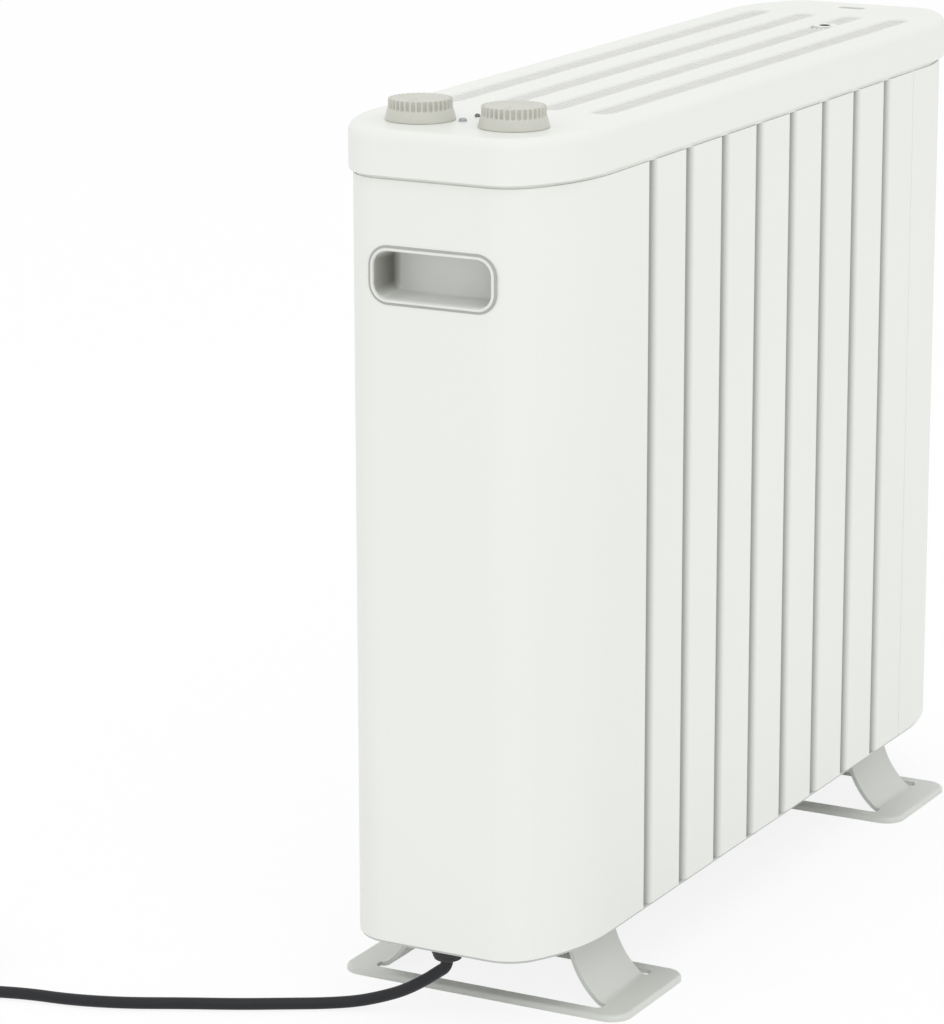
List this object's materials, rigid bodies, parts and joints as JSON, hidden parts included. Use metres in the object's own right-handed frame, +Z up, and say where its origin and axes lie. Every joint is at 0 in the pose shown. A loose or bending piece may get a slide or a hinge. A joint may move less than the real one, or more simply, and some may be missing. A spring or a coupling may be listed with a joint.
{
  "type": "oil-free radiator",
  "caption": "Free-standing electric heater: a row of hollow steel fins between rounded end panels, with a slotted top cover, control knobs, hand-holds, sheet feet and a mains cord.",
  "frame": {"origin": "on the floor, under the middle of the casing and feet", "axes": "+Z up; X along the casing, with the controls and the mains cord at the -X end; Y across the fins"},
  "size_m": [0.6663, 0.4927, 0.4978],
  "materials": {
    "casing_white": "smooth satin powder coat",
    "cover_white": "smooth satin powder coat",
    "tray_steel": "satin grey paint",
    "foot_grey": "satin grey paint",
    "hand_hold_grey": "fine moulded grain",
    "knob_grey": "moulded, slightly warm grey",
    "louvre_white": "matte moulded",
    "lamp_lens": "clear lens, bluish grey when unlit",
    "black_plastic": "matte black moulding",
    "cord_black": "matte flexible sheath",
    "plug_black": "matte black moulding",
    "pin_metal": "nickel plated",
    "zinc_steel": "zinc plated",
    "spindle_steel": "turned steel",
    "control_case": "moulded",
    "element_aluminium": "extruded, dull",
    "ceramic": "glazed ceramic look",
    "wire_sheath": "silicone sheath"
  },
  "bodies": {
    "heater": {"front_end_panel": "casing_white", "rear_end_panel": "casing_white", "top_cover": "cover_white", "outlet_louvre": "louvre_white", "base_tray": "tray_steel", "hand_hold_front": "hand_hold_grey", "hand_hold_rear": "hand_hold_grey", "thermostat_body": "control_case", "selector_switch_body": "control_case", "control_nuts": "zinc_steel", "pilot_lamp_lens": "lamp_lens", "pilot_lamp_body": "black_plastic", "heating_element_1": "element_aluminium", "heating_element_2": "element_aluminium", "element_bracket_front": "zinc_steel", "element_bracket_rear": "zinc_steel", "element_insulators": "ceramic", "thermal_cutout": "black_plastic", "terminal_block": "control_case", "wiring": "wire_sheath", "tie_rods": "zinc_steel", "tie_rod_nuts": "zinc_steel", "cover_strap": "zinc_steel", "cover_screws": "zinc_steel", "foot_front": "foot_grey", "foot_rear": "foot_grey", "foot_screws": "zinc_steel", "cord_gland": "black_plastic", "gland_nut": "black_plastic", "mains_cord": "cord_black", "cord_coil": "cord_black", "cord_tie": "plug_black", "plug_body": "plug_black", "plug_pins": "pin_metal", "fin_1": "casing_white", "fin_2": "casing_white", "fin_3": "casing_white", "fin_4": "casing_white", "fin_5": "casing_white", "fin_6": "casing_white", "fin_7": "casing_white", "fin_8": "casing_white"},
    "thermostat_dial": {"thermostat_knob": "knob_grey", "thermostat_spindle": "spindle_steel"},
    "selector_dial": {"selector_knob": "knob_grey", "selector_spindle": "spindle_steel"}
  },
  "joints": [
    {"name": "thermostat_turn", "type": "hinge", "parent": "heater", "child": "thermostat_dial", "pos_m": [-0.242, -0.0276, 0.4865], "axis": [0, 0, 1], "range_deg": [0, 270]},
    {"name": "selector_turn", "type": "hinge", "parent": "heater", "child": "selector_dial", "pos_m": [-0.242, 0.0276, 0.4865], "axis": [0, 0, 1], "range_deg": [0, 135]}
  ]
}
